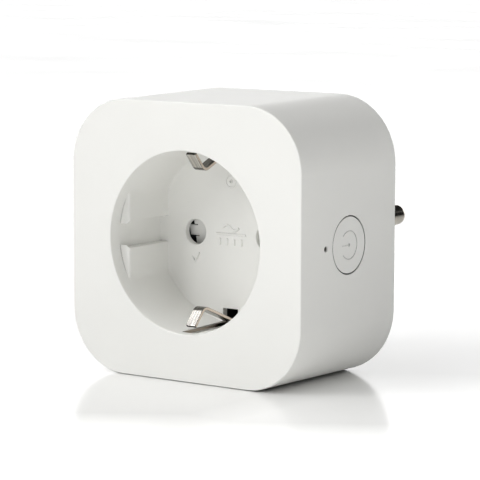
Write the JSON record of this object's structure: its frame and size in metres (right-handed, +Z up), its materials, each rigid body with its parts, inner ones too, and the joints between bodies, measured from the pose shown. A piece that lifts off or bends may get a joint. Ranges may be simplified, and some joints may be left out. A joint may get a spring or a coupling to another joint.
{
  "type": "smart plug",
  "caption": "Switched mains plug adapter with a recessed earthed socket in front, round-pin plug behind, side button and status light.",
  "frame": {"origin": "middle of the bounding box at the object's underside; the socket and plug axis is 30.59 mm above it", "axes": "+Z up as it stands in the picture, the socket faces -Y, the plug's pins point along +Y, and the button is on the +X side"},
  "size_m": [0.0612, 0.0732, 0.0612],
  "materials": {
    "white_plastic": "satin white moulded polycarbonate",
    "grey_plastic": "pale grey moulding",
    "black_plastic": "black moulding",
    "yellow_plastic": "yellow film and tape",
    "clear_plastic": "clear acrylic",
    "ceramic": "blue epoxy coat",
    "nickel": "nickel plated",
    "brass": "bare strip",
    "copper": "copper alloy strip",
    "steel": "zinc plated",
    "ferrite": "sintered",
    "board": "green solder mask"
  },
  "bodies": {
    "case": {"front_housing": "white_plastic", "rear_cover": "white_plastic", "cover_screw_upper_right": "steel", "cover_screw_upper_left": "steel", "cover_screw_lower_left": "steel", "cover_screw_lower_right": "steel", "live_pin": "nickel", "neutral_pin": "nickel", "live_pin_link": "brass", "neutral_pin_link": "brass", "earth_bridge": "nickel", "rear_earth_contact_top": "nickel", "rear_earth_contact_bottom": "nickel", "earth_sleeve": "nickel", "shutter_spring": "steel", "contact_carrier": "black_plastic", "live_socket_contact": "copper", "neutral_socket_contact": "copper", "button_switch": "black_plastic", "control_board": "board", "board_connector": "black_plastic", "indicator_led": "clear_plastic", "light_pipe": "clear_plastic", "main_board": "board", "bulk_capacitor_inner": "black_plastic", "bulk_capacitor_outer": "black_plastic", "filter_inductor": "grey_plastic", "fusible_resistor": "ceramic", "suppression_capacitor": "yellow_plastic", "varistor": "ceramic", "bridge_rectifier": "black_plastic", "power_chip": "black_plastic", "wifi_board": "board", "wifi_shield": "steel", "transformer_core": "ferrite", "transformer_winding": "yellow_plastic", "relay_cover": "black_plastic", "relay_base": "black_plastic", "relay_yoke": "steel", "relay_coil": "copper", "relay_fixed_contact": "brass"},
    "button": {"power_button": "white_plastic"},
    "plunger": {"switch_plunger": "grey_plastic"},
    "shutter": {"safety_shutter": "grey_plastic"},
    "upper_earth_clip": {"earth_clip_top": "nickel"},
    "lower_earth_clip": {"earth_clip_bottom": "nickel"},
    "armature": {"relay_armature": "steel", "relay_moving_contact": "copper"}
  },
  "joints": [
    {"name": "button_press", "type": "slide", "parent": "case", "child": "button", "axis": [-1, 0, 0], "range_m": [0, 0.0004], "stiffness_N_per_m": 1000},
    {"name": "plunger_press", "type": "slide", "parent": "case", "child": "plunger", "axis": [-1, 0, 0], "range_m": [0, 0.0004]},
    {"name": "shutter_turn", "type": "hinge", "parent": "case", "child": "shutter", "pos_m": [0, -0.0161, 0.03059], "axis": [0, 1, 0], "range_deg": [0, 45], "stiffness_Nm_per_rad": 0.002},
    {"name": "upper_clip_flex", "type": "hinge", "parent": "case", "child": "upper_earth_clip", "pos_m": [0, -0.01653, 0.05116], "axis": [-1, 0, 0], "range_deg": [0, 5], "stiffness_Nm_per_rad": 0.2},
    {"name": "lower_clip_flex", "type": "hinge", "parent": "case", "child": "lower_earth_clip", "pos_m": [0, -0.01653, 0.01062], "axis": [1, 0, 0], "range_deg": [0, 5], "stiffness_Nm_per_rad": 0.2},
    {"name": "relay_pull_in", "type": "hinge", "parent": "case", "child": "armature", "pos_m": [-0.00475, -0.0154, 0.01559], "axis": [0, 0, -1], "range_deg": [0, 1.8], "stiffness_Nm_per_rad": 0.01}
  ],
  "couplings": [
    {"joint": "plunger_press", "follows": "button_press", "ratio": 1}
  ]
}
